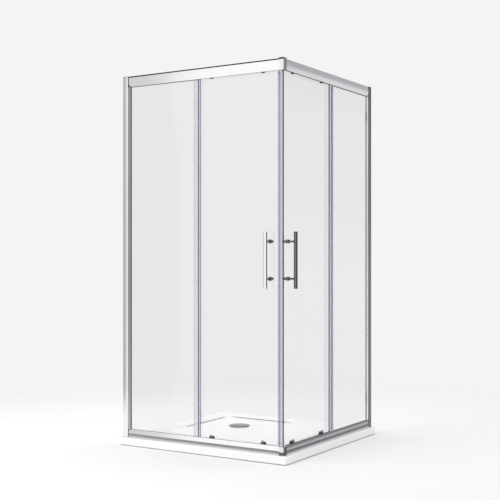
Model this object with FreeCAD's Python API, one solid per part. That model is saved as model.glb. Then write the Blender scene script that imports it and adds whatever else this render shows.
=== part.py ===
import FreeCAD, Part
import math
import os
from FreeCAD import Vector

# Corner-entry shower enclosure on its tray, millimetres, +Z up.
# The origin is the centre of the tray's underside. The front side faces -Y and the right side faces +X.
# The room's walls would stand against the faces at X = -tray_side / 2 and Y = +tray_side / 2.
# Every piece of a side is drawn in the front side's own frame: u runs along the side towards the
# entry corner, v is the distance outwards from the centre, and z is up. The right side is its mirror image.

# Driving dimensions of the whole
tray_side = 1000.0
tray_height = 40.0
frame_height = 1887.0
frame_inset = 23.0
glass_thickness = 6.0

# Clearances and the overrun of cuts
seam = 0.5
running_gap = 0.3
screw_clearance = 0.05
overrun = 5.0
least_edge = 0.001
rounding_limit_share = 0.48

# Shower tray
tray_corner_radius = 8.0
tray_top_radius = 4.0
tray_foot_radius = 2.5
glass_side_rim = 75.0
wall_side_rim = 47.0
well_slope_width = 25.0
well_edge_depth = 13.0
well_corner_radius = 46.0
well_lip_radius = 3.0
fall_depth = 3.0
fall_radius = 300.0
waste_from_wall = 294.0

# Waste fitting
flange_radius = 56.0
flange_thickness = 3.0
waste_gasket_thickness = 1.5
throat_outer_radius = 44.0
throat_wall = 4.0
throat_clearance = 2.0
throat_foot_height = 2.0
cover_radius = 58.0
cover_edge_thickness = 1.6
cover_crown = 3.4
cover_leg_height = 3.0
cover_leg_thickness = 4.0
cover_leg_reach = 14.0
cover_leg_circle = 46.0
cover_leg_count = 3

# Extruded profiles
profile_wall = 2.0
fin_thickness = 1.2
gasket_thickness = 1.5
fixed_glass_setback = 10.0
glass_pass_gap = 8.0
track_lip_gap = 1.0
wheel_bracket_gap = 2.0
wheel_room = 5.0
port_radius = 2.9
port_from_glass = 2.3

# Header
header_height = 56.0
header_crown = 1.2
header_crown_radius = 200.0
header_top_radius = 5.0
header_foot_radius = 0.4
header_top_setback = 1.6
track_rise = 16.0
header_glass_cover = 22.0
header_port_drop = 6.5
bead_height = 1.0
bead_foot_width = 2.0
bead_top_width = 1.2
header_corner_radius = 20.0
rail_corner_radius = 8.0
plug_thickness = 3.5
plug_face_thickness = 6.0
plug_lug_length = 8.0

# Bottom rail
bottom_rail_height = 41.0
skirt_height = 20.0
skirt_step = 1.0
shoulder_bulge_height = 13.0
shoulder_bulge_setback = 1.6
shoulder_radius = 18.0
shoulder_top_radius = 1.8
shoulder_top_setback = 7.4
groove_floor_height = 17.5
groove_floor_thickness = 1.5
lower_track_height = 16.0
track_guard_height = 3.0
bottom_port_height = 6.0

# Wall channel and jamb
channel_width = 35.0
channel_depth = 25.0
channel_corner_radius = 6.0
channel_lip_radius = 0.8
channel_cap_thickness = 3.0
cap_edge_radius = 0.8
jamb_nose_width = 12.5
jamb_wall = 1.4
jamb_nose_radius = 2.5
jamb_tail_reach = 27.0
jamb_head_room = 2.0
jamb_web_thickness = 2.0
wall_hole_radius = 3.0
wall_hole_end_setback = 163.5
wall_hole_inner_share = 1 / 3
jamb_screw_end_setback = 263.5
jamb_screw_from_wall = 22.0

# Corner blocks
block_side = 28.0
block_proud = 1.0
block_top_rise = 3.0
block_foot_drop = 1.0
block_lower_rise = 1.0
block_corner_radius = 3.0
block_top_radius = 2.5
tongue_length = 25.0
tongue_clearance = 0.3
corner_screw_setback = 12.0
corner_screw_from_fin = 3.8

# Self-tapping screws
screw_head_radius = 3.4
screw_head_height = 2.2
screw_shank_radius = 1.75
screw_length = 14.0
screw_recess_width = 0.9
screw_recess_length = 4.4
screw_recess_depth = 1.0

# Fixed glass and its seals
fixed_glass_free_edge = -12.0
fixed_glass_end_play = 4.0
glass_bed = 2.5
edge_seal_grip = 14.0
edge_seal_wall = 1.6
edge_seal_web = 2.0
edge_seal_fin_thickness = 1.0
edge_seal_fin_setback = 6.0
edge_seal_fin_end_cut = 17.0
seal_end_gap = 2.0

# Sliding door
door_overlap = 44.5
door_glass_lead_inset = 14.0
door_glass_foot = 26.0
door_glass_head = 22.0
glass_hole_radius = 5.0
trailing_seal_grip = 15.0
trailing_fin_gap = 0.5
mag_seal_grip = 6.0
mag_seal_wall = 1.8
mag_seal_half_gap = 0.3
magnet_width = 6.0
magnet_thickness = 2.0
magnet_cover = 1.0
magnet_shift = 1.0

# Handle
handle_setback = 67.0
handle_open_gap = 19.5
handle_height = 967.0
handle_length = 275.0
handle_post_spacing = 180.0
handle_radius = 9.5
handle_tube_wall = 1.5
handle_standoff = 36.0
handle_cap_thickness = 2.0
handle_cap_insert = 8.0
handle_cap_radius = 1.0
post_radius = 5.0
post_seat_depth = 1.5
post_stud_radius = 3.0
post_base_radius = 8.5
post_base_height = 2.5
cap_nut_radius = 10.2
cap_nut_flange_thickness = 14.0
cap_nut_boss_radius = 6.5
cap_nut_length = 30.0
cap_nut_bore_depth = 9.0
cap_nut_edge_radius = 1.2

# Roller gear
roller_from_back_edge = 101.5
roller_from_lead_edge = 91.0
wheel_width = 5.0
top_wheel_radius = 11.0
lower_wheel_radius = 9.0
wheel_groove_depth = 1.4
wheel_groove_floor_share = 0.55
groove_flank_clearance = 0.4
wheel_pin_radius = 2.5
pin_running_clearance = 0.08
pin_head_radius = 3.8
pin_head_thickness = 1.4
pin_collar_radius = 3.8
bracket_thickness = 4.0
bracket_half_width = 15.0
bracket_head = 11.7
bracket_corner_radius = 4.0
bracket_foot_radius = 12.0
roller_bolt_rise = 11.0
bolt_cap_radius = 7.0
bolt_cap_height = 4.0
bolt_cap_edge_radius = 1.0
bolt_shank_radius = 2.5

# Sprung lower roller gear
lower_bolt_rise = 46.0
knob_thickness = 4.0
knob_half_width = 12.5
knob_foot_drop = 8.0
knob_peak_rise = 13.5
knob_foot_radius = 2.5
knob_peak_radius = 1.8
knob_edge_radius = 1.0
housing_half_width = 10.5
housing_side_wall = 1.6
housing_back_wall = 2.3
housing_front_wall = 1.5
housing_top_wall = 2.0
housing_foot = 34.5
housing_window = 8.5
housing_slot_half_width = 5.5
housing_slot_foot = 36.0
housing_edge_radius = 1.5
sled_play = 0.4
sled_plate_thickness = 2.8
sled_foot = 20.0
sled_top = 39.0
sled_half_width = 11.6
sled_bridge_thickness = 2.0
sled_bridge_half_width = 6.0
sled_arm_width = 1.9
sled_tab_foot = 22.5
sled_tab_head = 29.5
sled_tab_thickness = 1.7
sled_lift = 4.0
lower_pin_radius = 2.0
spring_radius = 2.6
spring_wire_radius = 0.35
spring_turns = 4
spring_least_length = 4.5

# Door stops in the header
stop_length = 10.0
stop_height = 12.0
stop_gap = 0.5

# Height of the sled's housing above the tray
housing_head = sled_top + sled_lift + spring_least_length + housing_top_wall

# Places worked out across a side, v
half_side = tray_side / 2
face_v = half_side - frame_inset
wall_in_v = face_v - profile_wall
fixed_out_v = face_v - fixed_glass_setback
fixed_in_v = fixed_out_v - glass_thickness
outer_fin_v = fixed_out_v + gasket_thickness
inner_fin_v = fixed_in_v - gasket_thickness
door_out_v = fixed_in_v - glass_pass_gap
door_in_v = door_out_v - glass_thickness
door_mid_v = (door_out_v + door_in_v) / 2
bracket_in_v = door_in_v - bracket_thickness
track_end_v = bracket_in_v - track_lip_gap
wheel_out_v = bracket_in_v - wheel_bracket_gap
wheel_in_v = wheel_out_v - wheel_width
wheel_mid_v = (wheel_in_v + wheel_out_v) / 2
inner_wall_v = wheel_in_v - wheel_room
rail_back_v = inner_wall_v - profile_wall
port_v = fixed_out_v + port_from_glass
channel_in_v = face_v - channel_depth

# Places worked out along a side, u
wall_u = -half_side
channel_edge_u = wall_u + channel_width
plug_end_u = channel_edge_u + plug_thickness
plug_face_end_u = channel_edge_u + plug_face_thickness
corner_u = half_side - frame_inset + block_proud - block_side
jamb_nose_end_u = channel_edge_u + jamb_nose_width
fixed_glass_edge_u = channel_edge_u + fixed_glass_end_play
door_back_u = fixed_glass_free_edge - door_overlap
door_lead_u = corner_u - door_glass_lead_inset
handle_u = corner_u - handle_setback
roller_places = [door_back_u + roller_from_back_edge, door_lead_u - roller_from_lead_edge]
post_open_u = fixed_glass_free_edge + edge_seal_web + handle_open_gap + post_base_radius
door_travel = handle_u - post_open_u

# Heights
rail_base_z = tray_height
frame_top_z = rail_base_z + frame_height
header_low_z = frame_top_z - header_height
header_web_z = frame_top_z - profile_wall
track_z = header_low_z + track_rise
header_shelf_z = header_low_z + header_glass_cover
shelf_top_z = header_shelf_z + groove_floor_thickness
header_port_z = frame_top_z - header_port_drop
rail_top_z = rail_base_z + bottom_rail_height
skirt_z = rail_base_z + skirt_height
groove_floor_z = rail_base_z + groove_floor_height
lower_track_z = rail_base_z + lower_track_height
rail_port_z = rail_base_z + bottom_port_height
top_axle_z = track_z + running_gap + top_wheel_radius
lower_axle_z = lower_track_z + running_gap + lower_wheel_radius
top_bolt_z = header_low_z + roller_bolt_rise
lower_bolt_z = rail_base_z + lower_bolt_rise
door_foot_z = rail_base_z + door_glass_foot
door_head_z = header_low_z + door_glass_head
seal_low_z = rail_top_z + seal_end_gap
seal_high_z = header_low_z - seal_end_gap
floor_edge_z = tray_height - well_edge_depth
waste_floor_z = floor_edge_z - fall_depth
flange_seat_z = waste_floor_z - flange_thickness
rebate_z = flange_seat_z - waste_gasket_thickness
waste_x = -half_side + waste_from_wall
waste_y = half_side - waste_from_wall


def block(u0, u1, v0, v1, z0, z1):
    """A rectangular block between two limits in each direction of the front side's frame."""
    return Part.makeBox(u1 - u0, v1 - v0, z1 - z0, Vector(u0, -v1, z0))


def rod_outward(u, z, radius, v0, v1):
    """A round bar whose axis runs outwards, along v."""
    return Part.makeCylinder(radius, v1 - v0, Vector(u, -v0, z), Vector(0, -1, 0))


def rod_along(v, z, radius, u0, u1):
    """A round bar whose axis runs along the side, along u."""
    return Part.makeCylinder(radius, u1 - u0, Vector(u0, -v, z), Vector(1, 0, 0))


def rod_upright(u, v, radius, z0, z1):
    return Part.makeCylinder(radius, z1 - z0, Vector(u, -v, z0))


def rounded_outline(points, place):
    """A closed wire through flat points (a, b) or (a, b, radius), its corners rounded by tangent arcs.

    place turns a flat pair into a point of space."""
    corners = []
    for number, point in enumerate(points):
        here = Vector(point[0], point[1], 0)
        radius = point[2] if len(point) > 2 else 0
        before = Vector(points[number - 1][0], points[number - 1][1], 0)
        after_point = points[(number + 1) % len(points)]
        after = Vector(after_point[0], after_point[1], 0)
        if not radius:
            corners.append((here, None, here))
            continue
        shorter_run = min((before - here).Length, (after - here).Length)
        to_before = (before - here).normalize()
        to_after = (after - here).normalize()
        half_angle = to_before.getAngle(to_after) / 2
        tangent = min(radius / math.tan(half_angle), shorter_run * rounding_limit_share)
        radius = tangent * math.tan(half_angle)
        middle_way = (to_before + to_after).normalize()
        depth = radius / math.sin(half_angle) - radius
        corners.append((here + to_before * tangent, here + middle_way * depth, here + to_after * tangent))
    edges = []
    for number, (start, middle, end) in enumerate(corners):
        next_start = corners[(number + 1) % len(corners)][0]
        if middle is not None:
            edges.append(Part.Arc(place(start), place(middle), place(end)).toShape())
        if (next_start - end).Length > least_edge:
            edges.append(Part.LineSegment(place(end), place(next_start)).toShape())
    return Part.Wire(edges)


def extrude_along(points, u0, u1):
    """A (v, z) outline drawn along the side from u0 to u1."""
    wire = rounded_outline(points, lambda p: Vector(u0, -p.x, p.y))
    return Part.Face(wire).extrude(Vector(u1 - u0, 0, 0))


def extrude_up(points, z0, z1):
    """A (u, v) outline drawn upwards from z0 to z1."""
    wire = rounded_outline(points, lambda p: Vector(p.x, -p.y, z0))
    return Part.Face(wire).extrude(Vector(0, 0, z1 - z0))


def extrude_outward(points, v0, v1):
    """A (u, z) outline drawn outwards from v0 to v1."""
    wire = rounded_outline(points, lambda p: Vector(p.x, -v0, p.y))
    return Part.Face(wire).extrude(Vector(0, v0 - v1, 0))


def turned(profile, u, z, v0):
    """A body turned about an axis that runs outwards from (u, v0, z); profile is (distance out, radius)."""
    wire = rounded_outline(profile, lambda p: Vector(u + p.y, -v0 - p.x, z))
    return Part.Face(wire).revolve(Vector(u, -v0, z), Vector(0, 1, 0), 360)


def fused(shapes):
    return shapes[0].fuse(shapes[1:]).removeSplitter()


def mirror_to_right(shape):
    """The right side is the front side's mirror image in the upright plane through the entry corner."""
    return shape.mirror(Vector(0, 0, 0), Vector(1, 1, 0))


def screw(u, v, z, direction):
    """A pan-head self-tapping screw: the head's underside lies at the point, the shank follows direction."""
    shank = Part.makeCylinder(screw_shank_radius, screw_length)
    head = Part.makeCylinder(screw_head_radius, screw_head_height, Vector(0, 0, -screw_head_height))
    rim = [edge for edge in head.Edges if abs(edge.CenterOfMass.z + screw_head_height) < screw_clearance]
    head = head.makeFillet(screw_head_height / 2, rim[:1])
    recess_floor = Vector(-screw_recess_length / 2, -screw_recess_width / 2, -screw_head_height)
    slot = Part.makeBox(screw_recess_length, screw_recess_width, screw_recess_depth, recess_floor)
    turned_slot = slot.copy()
    turned_slot.rotate(Vector(0, 0, 0), Vector(0, 0, 1), 90)
    body = head.fuse(shank).cut(slot).cut(turned_slot)
    body.Placement = FreeCAD.Placement(Vector(u, -v, z), FreeCAD.Rotation(Vector(0, 0, 1), direction))
    return body


def screw_hole_along(v, z, u0, u1):
    return rod_along(v, z, screw_shank_radius + screw_clearance, u0, u1)


# Shower tray

def well_outline(inset, height):
    """The well's rounded outline, inset from its mouth, at one height."""
    low_x = -half_side + wall_side_rim + inset
    high_x = half_side - glass_side_rim - inset
    radius = well_corner_radius - inset / 2
    points = [
        (low_x, -low_x, radius),
        (high_x, -low_x, radius),
        (high_x, -high_x, radius),
        (low_x, -high_x, radius),
    ]
    return rounded_outline(points, lambda p: Vector(p.x, p.y, height))


def shower_tray():
    """A solid cast tray whose well falls gently to the waste."""
    slab = Part.makeBox(tray_side, tray_side, tray_height, Vector(-half_side, -half_side, 0))
    uprights = [edge for edge in slab.Edges if edge.BoundBox.ZLength > tray_height / 2]
    slab = slab.makeFillet(tray_corner_radius, uprights)
    top_edges = [edge for edge in slab.Edges if edge.BoundBox.ZMin > tray_height / 2]
    slab = slab.makeFillet(tray_top_radius, top_edges)
    foot_edges = [edge for edge in slab.Edges if edge.BoundBox.ZMax < screw_clearance]
    slab = slab.makeFillet(tray_foot_radius, foot_edges)
    rise_share = overrun / well_edge_depth
    mouth = well_outline(-well_slope_width * rise_share, tray_height + overrun)
    floor = well_outline(well_slope_width, floor_edge_z)
    well = Part.makeLoft([mouth, floor], True, True)
    tray = slab.cut(well)
    mouth_edges = [edge for edge in tray.Edges if is_mouth_edge(edge)]
    tray = tray.makeFillet(well_lip_radius, mouth_edges)
    axis_foot = Vector(waste_x, waste_y, waste_floor_z)
    fall = Part.makeCone(flange_radius, fall_radius, fall_depth, axis_foot)
    above = Part.makeCylinder(fall_radius, fall_depth, Vector(waste_x, waste_y, floor_edge_z))
    tray = tray.cut(fused([fall, above]))
    rebate = Part.makeCylinder(flange_radius + screw_clearance, tray_height, Vector(waste_x, waste_y, rebate_z))
    hole_radius = throat_outer_radius + throat_clearance
    hole = Part.makeCylinder(hole_radius, tray_height, Vector(waste_x, waste_y, 0))
    return tray.cut(rebate).cut(hole)


def is_mouth_edge(edge):
    """Whether an edge lies on the well's mouth, at the tray's top."""
    box = edge.BoundBox
    inside = max(abs(box.XMin), abs(box.XMax), abs(box.YMin), abs(box.YMax)) < half_side - wall_side_rim / 2
    return inside and box.ZMin > tray_height - screw_clearance


# Waste fitting

def upright_ring(outer, inner, z0, z1):
    place = Vector(waste_x, waste_y, z0)
    ring = Part.makeCylinder(outer, z1 - z0, place)
    return ring.cut(Part.makeCylinder(inner, z1 - z0, place))


def waste_body():
    """The flange that clamps the tray, with the throat that the trap below takes hold of."""
    throat_inner = throat_outer_radius - throat_wall
    flange = upright_ring(flange_radius, throat_inner, flange_seat_z, waste_floor_z)
    throat = upright_ring(throat_outer_radius, throat_inner, throat_foot_height, flange_seat_z)
    return fused([flange, throat])


def waste_gasket():
    return upright_ring(flange_radius, throat_outer_radius + screw_clearance, rebate_z, flange_seat_z)


def waste_cover():
    """A domed round cover that stands on three legs above the flange and lifts off by hand."""
    edge_low_z = waste_floor_z + cover_leg_height
    edge_high_z = edge_low_z + cover_edge_thickness
    crown_radius = (cover_radius ** 2 + cover_crown ** 2) / (2 * cover_crown)
    centre = Vector(waste_x, waste_y, edge_high_z + cover_crown - crown_radius)
    dome = Part.makeSphere(crown_radius, centre)
    disc_height = cover_edge_thickness + cover_crown
    disc = Part.makeCylinder(cover_radius, disc_height, Vector(waste_x, waste_y, edge_low_z))
    cover = disc.common(dome)
    legs = []
    for number in range(cover_leg_count):
        corner = Vector(cover_leg_circle - cover_leg_reach / 2, -cover_leg_thickness / 2, waste_floor_z)
        leg = Part.makeBox(cover_leg_reach, cover_leg_thickness, cover_leg_height, corner)
        leg.rotate(Vector(0, 0, 0), Vector(0, 0, 1), 360 / cover_leg_count * number)
        leg.translate(Vector(waste_x, waste_y, 0))
        legs.append(leg)
    return fused([cover] + legs)


# Header and bottom rail

def track_bead(height):
    """The raised bead that the wheels' grooves ride over, as a (v, z) outline."""
    return [
        (wheel_mid_v - bead_foot_width / 2, height),
        (wheel_mid_v + bead_foot_width / 2, height),
        (wheel_mid_v + bead_top_width / 2, height + bead_height),
        (wheel_mid_v - bead_top_width / 2, height + bead_height),
    ]


def mitre_cut(z0, z1):
    """The space beyond the diagonal of the entry corner, which the other side's rail takes."""
    back_v = rail_back_v - overrun
    points = [
        (back_v - running_gap, back_v),
        (corner_u + overrun, back_v),
        (corner_u + overrun, corner_u),
        (corner_u - running_gap, corner_u),
    ]
    return extrude_up(points, z0 - overrun, z1 + overrun)


def end_corner(start_u, corner_z, inward, radius):
    """The space outside the rounded corner of a rail's visible face, next to the wall channel."""
    centre_z = corner_z + inward * radius
    low_z = min(corner_z, centre_z)
    high_z = max(corner_z, centre_z)
    square = block(start_u, start_u + radius, outer_fin_v, face_v, low_z, high_z)
    return square.cut(rod_outward(start_u + radius, centre_z, radius, outer_fin_v, face_v))


def header_skin_outline():
    """The crowned outer wall of the header with its rounded top."""
    crown_z = header_low_z + header_height / 2
    return [
        (wall_in_v, header_low_z),
        (face_v - header_crown, header_low_z, header_foot_radius),
        (face_v, crown_z, header_crown_radius),
        (face_v - header_top_setback, frame_top_z, header_top_radius),
        (outer_fin_v, frame_top_z),
        (outer_fin_v, header_web_z),
        (wall_in_v, header_web_z),
    ]


def header():
    """The top rail: outer skin, fixed-glass groove, hollow chamber and the door's hanging track."""
    start = plug_end_u
    skin = extrude_along(header_skin_outline(), plug_face_end_u, corner_u)
    top_web = block(start, corner_u, rail_back_v, outer_fin_v, header_web_z, frame_top_z)
    back_wall = block(start, corner_u, rail_back_v, inner_wall_v, track_z - profile_wall, frame_top_z)
    track = block(start, corner_u, rail_back_v, track_end_v, track_z - profile_wall, track_z)
    bead = extrude_along(track_bead(track_z), start, corner_u)
    fin_foot_z = header_low_z + profile_wall
    inner_fin = block(start, corner_u, inner_fin_v - fin_thickness, inner_fin_v, fin_foot_z, header_web_z)
    shelf = block(start, corner_u, inner_fin_v, wall_in_v, header_shelf_z, shelf_top_z)
    outer_fin = block(start, corner_u, outer_fin_v, outer_fin_v + fin_thickness, fin_foot_z, header_shelf_z)
    port = rod_along(port_v, header_port_z, port_radius, start, corner_u)
    rib = block(start, corner_u, port_v - fin_thickness, port_v + fin_thickness, header_port_z, header_web_z)
    body = fused([skin, top_web, back_wall, track, bead, inner_fin, shelf, outer_fin, port, rib])
    body = body.cut(screw_hole_along(port_v, header_port_z, start, corner_u))
    body = body.cut(corner_screw_hole(header_shelf_z, shelf_top_z))
    body = body.cut(end_corner(plug_face_end_u, header_low_z, 1, header_corner_radius))
    return body.cut(mitre_cut(header_low_z, frame_top_z))


def rail_skin_outline():
    """The bottom rail's outer wall: an upright skirt, a small step and a rounded shoulder."""
    step_v = face_v - skirt_step
    top_v = face_v - shoulder_top_setback
    return [
        (wall_in_v - skirt_step, rail_base_z),
        (face_v, rail_base_z),
        (face_v, skirt_z),
        (step_v, skirt_z + skirt_step / 2),
        (step_v - shoulder_bulge_setback, skirt_z + shoulder_bulge_height, shoulder_radius),
        (top_v, rail_top_z, shoulder_top_radius),
        (outer_fin_v, rail_top_z),
        (outer_fin_v, rail_top_z - profile_wall),
        (step_v - shoulder_bulge_setback - profile_wall, skirt_z + shoulder_bulge_height - profile_wall),
        (wall_in_v - skirt_step, skirt_z - profile_wall),
    ]


def bottom_rail():
    """The threshold rail: it stands on the tray's rim and carries the fixed glass and the lower track."""
    start = plug_end_u
    skin = extrude_along(rail_skin_outline(), start, corner_u)
    base_top_z = rail_base_z + profile_wall
    base = block(start, corner_u, rail_back_v, wall_in_v - skirt_step, rail_base_z, base_top_z)
    guard_z = lower_track_z + track_guard_height
    back_wall = block(start, corner_u, rail_back_v, inner_wall_v, rail_base_z, guard_z)
    track_foot_z = lower_track_z - profile_wall
    track = block(start, corner_u, inner_wall_v, inner_fin_v, track_foot_z, lower_track_z)
    bead = extrude_along(track_bead(lower_track_z), start, corner_u)
    inner_fin = block(start, corner_u, inner_fin_v - fin_thickness, inner_fin_v, rail_base_z, rail_top_z)
    floor_foot_z = groove_floor_z - groove_floor_thickness
    groove_floor = block(start, corner_u, inner_fin_v, wall_in_v - skirt_step, floor_foot_z, groove_floor_z)
    outer_fin = block(start, corner_u, outer_fin_v, outer_fin_v + fin_thickness, floor_foot_z, rail_top_z)
    port = rod_along(port_v, rail_port_z, port_radius, start, corner_u)
    rib = block(start, corner_u, port_v - fin_thickness, port_v + fin_thickness, base_top_z, rail_port_z)
    body = fused([skin, base, back_wall, track, bead, inner_fin, groove_floor, outer_fin, port, rib])
    body = body.cut(screw_hole_along(port_v, rail_port_z, start, corner_u))
    body = body.cut(corner_screw_hole(floor_foot_z, groove_floor_z))
    body = body.cut(end_corner(plug_end_u, rail_top_z, -1, rail_corner_radius))
    return body.cut(mitre_cut(rail_base_z, rail_top_z))


def corner_screw_hole(z0, z1):
    """The hole in a groove's web for the screw that holds the corner block's tongue."""
    u = corner_u - corner_screw_setback
    radius = screw_shank_radius + screw_clearance
    return rod_upright(u, inner_fin_v + corner_screw_from_fin, radius, z0, z1)


def header_end_outline():
    """The header's whole end as one closed (v, z) outline."""
    crown_z = header_low_z + header_height / 2
    return [
        (inner_fin_v, header_low_z),
        (face_v - header_crown, header_low_z, header_foot_radius),
        (face_v, crown_z, header_crown_radius),
        (face_v - header_top_setback, frame_top_z, header_top_radius),
        (rail_back_v, frame_top_z),
        (rail_back_v, track_z - profile_wall),
        (inner_fin_v, track_z - profile_wall),
    ]


def header_end_plug():
    """The black plug on the header's end: a plate with a thicker face, its filled corner, and a lug inside."""
    plate = extrude_along(header_end_outline(), channel_edge_u, plug_end_u)
    face = extrude_along(header_skin_outline(), plug_end_u, plug_face_end_u)
    corner_end_u = plug_face_end_u + header_corner_radius
    corner = extrude_along(header_end_outline(), plug_face_end_u, corner_end_u)
    corner = corner.common(end_corner(plug_face_end_u, header_low_z, 1, header_corner_radius))
    lug_end_u = plug_end_u + plug_lug_length
    lug = block(plug_end_u, lug_end_u, outer_fin_v + fin_thickness, wall_in_v, header_low_z, header_shelf_z)
    plug = fused([plate, face, corner, lug])
    return plug.cut(screw_hole_along(port_v, header_port_z, channel_edge_u, plug_end_u))


def rail_end_outline():
    """The bottom rail's whole end as one closed (v, z) outline."""
    step_v = face_v - skirt_step
    guard_z = lower_track_z + track_guard_height
    return [
        (rail_back_v, rail_base_z),
        (face_v, rail_base_z),
        (face_v, skirt_z),
        (step_v, skirt_z + skirt_step / 2),
        (step_v - shoulder_bulge_setback, skirt_z + shoulder_bulge_height, shoulder_radius),
        (face_v - shoulder_top_setback, rail_top_z, shoulder_top_radius),
        (inner_fin_v - fin_thickness, rail_top_z),
        (inner_fin_v - fin_thickness, guard_z),
        (rail_back_v, guard_z),
    ]


def rail_end_plug():
    """The black plug on the bottom rail's end, with the filled corner of the shoulder."""
    plate = extrude_along(rail_end_outline(), channel_edge_u, plug_end_u)
    corner_end_u = plug_end_u + rail_corner_radius
    corner = extrude_along(rail_end_outline(), plug_end_u, corner_end_u)
    corner = corner.common(end_corner(plug_end_u, rail_top_z, -1, rail_corner_radius))
    plug = fused([plate, corner])
    return plug.cut(screw_hole_along(port_v, rail_port_z, channel_edge_u, plug_end_u))


# Wall channel and jamb

def wall_hole_heights():
    """Heights of the holes for the wall screws: an outer and an inner pair about the frame's middle."""
    middle = rail_base_z + frame_height / 2
    outer_reach = frame_height / 2 - wall_hole_end_setback
    reaches = [outer_reach, outer_reach * wall_hole_inner_share]
    return [middle + sign * reach for reach in reaches for sign in (-1, 1)]


def jamb_screw_heights():
    middle = rail_base_z + frame_height / 2
    reach = frame_height / 2 - jamb_screw_end_setback
    return [middle - reach, middle, middle + reach]


def wall_channel():
    """The U-channel screwed to the wall, which takes up an uneven wall behind the jamb."""
    channel_top_z = frame_top_z - channel_cap_thickness
    outline = [
        (wall_u, channel_in_v, channel_lip_radius),
        (channel_edge_u, channel_in_v, channel_lip_radius),
        (channel_edge_u, channel_in_v + profile_wall),
        (wall_u + profile_wall, channel_in_v + profile_wall),
        (wall_u + profile_wall, wall_in_v, channel_corner_radius - profile_wall),
        (channel_edge_u, wall_in_v),
        (channel_edge_u, face_v, channel_lip_radius),
        (wall_u, face_v, channel_corner_radius),
    ]
    channel = extrude_up(outline, rail_base_z, channel_top_z)
    middle_v = face_v - channel_depth / 2
    for z in wall_hole_heights():
        channel = channel.cut(rod_along(middle_v, z, wall_hole_radius, wall_u, wall_u + profile_wall))
    hole_radius = screw_shank_radius + screw_clearance
    for z in jamb_screw_heights():
        u = wall_u + jamb_screw_from_wall
        channel = channel.cut(rod_outward(u, z, hole_radius, channel_in_v, channel_in_v + profile_wall))
    return channel


def channel_cap():
    """The moulded cap that closes the top of the wall channel, flush with the header."""
    cap_low_z = frame_top_z - channel_cap_thickness
    outline = [
        (wall_u, channel_in_v, channel_lip_radius),
        (channel_edge_u, channel_in_v, channel_lip_radius),
        (channel_edge_u, face_v, channel_lip_radius),
        (wall_u, face_v, channel_corner_radius),
    ]
    cap = extrude_up(outline, cap_low_z, frame_top_z)
    top_edges = [edge for edge in cap.Edges if edge.BoundBox.ZMin > frame_top_z - cap_edge_radius]
    return cap.makeFillet(cap_edge_radius, top_edges)


def jamb():
    """The upright that slides in the wall channel, with the groove for the fixed glass in its nose."""
    outer_v = wall_in_v - running_gap
    inner_v = channel_in_v + profile_wall + running_gap
    tail_u = channel_edge_u - jamb_tail_reach
    web_u = channel_edge_u - jamb_web_thickness
    foot_z = rail_base_z + jamb_head_room
    head_z = frame_top_z - channel_cap_thickness - jamb_head_room
    outer_flange = block(tail_u, channel_edge_u, outer_v - jamb_wall, outer_v, foot_z, head_z)
    inner_flange = block(tail_u, channel_edge_u, inner_v, inner_v + jamb_wall, foot_z, head_z)
    web = block(web_u, channel_edge_u, inner_v, outer_v, foot_z, head_z)
    nose_outline = [
        (web_u, inner_v),
        (jamb_nose_end_u, inner_v, jamb_nose_radius),
        (jamb_nose_end_u, outer_v, jamb_nose_radius),
        (web_u, outer_v),
    ]
    nose = extrude_up(nose_outline, rail_top_z, header_low_z)
    groove = block(channel_edge_u, jamb_nose_end_u, inner_fin_v, outer_fin_v, rail_top_z, header_low_z)
    hollow_end_u = jamb_nose_end_u - jamb_wall - jamb_nose_radius
    nose = nose.cut(groove)
    hollows = [
        (inner_v + jamb_wall, inner_fin_v - fin_thickness),
        (outer_fin_v + fin_thickness, outer_v - jamb_wall),
    ]
    for low_v, high_v in hollows:
        nose = nose.cut(block(channel_edge_u, hollow_end_u, low_v, high_v, rail_top_z, header_low_z))
    body = fused([outer_flange, inner_flange, web, nose])
    for z in (header_port_z, rail_port_z):
        body = body.cut(screw_hole_along(port_v, z, web_u, channel_edge_u))
    hole_radius = screw_shank_radius + screw_clearance
    for z in jamb_screw_heights():
        u = wall_u + jamb_screw_from_wall
        body = body.cut(rod_outward(u, z, hole_radius, inner_v, inner_v + jamb_wall))
    return body


# Corner blocks

def corner_block(low_z, high_z, tongue_low_z, tongue_high_z):
    """A square connector at the entry corner with a tongue into the chamber of each rail."""
    far = corner_u + block_side
    outline = [
        (corner_u, corner_u),
        (far, corner_u),
        (far, far, block_corner_radius),
        (corner_u, far),
    ]
    body = extrude_up(outline, low_z, high_z)
    top_edges = [edge for edge in body.Edges if edge.BoundBox.ZMin > high_z - block_top_radius]
    body = body.makeFillet(block_top_radius, top_edges)
    tongue = block(
        corner_u - tongue_length,
        corner_u + block_top_radius,
        inner_fin_v + tongue_clearance,
        wall_in_v - skirt_step - tongue_clearance,
        tongue_low_z,
        tongue_high_z,
    )
    hole_u = corner_u - corner_screw_setback
    hole_radius = screw_shank_radius + screw_clearance
    hole = rod_upright(hole_u, inner_fin_v + corner_screw_from_fin, hole_radius, tongue_low_z, tongue_high_z)
    tongue = tongue.cut(hole)
    return fused([body, tongue, mirror_to_right(tongue)])


def top_corner_block():
    low_z = header_low_z - block_foot_drop
    high_z = frame_top_z + block_top_rise
    port_foot_z = header_port_z - port_radius - tongue_clearance
    return corner_block(low_z, high_z, shelf_top_z, port_foot_z)


def lower_corner_block():
    high_z = rail_top_z + block_lower_rise
    port_head_z = rail_port_z + port_radius + tongue_clearance
    return corner_block(rail_base_z, high_z, port_head_z, groove_floor_z - groove_floor_thickness)


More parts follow.
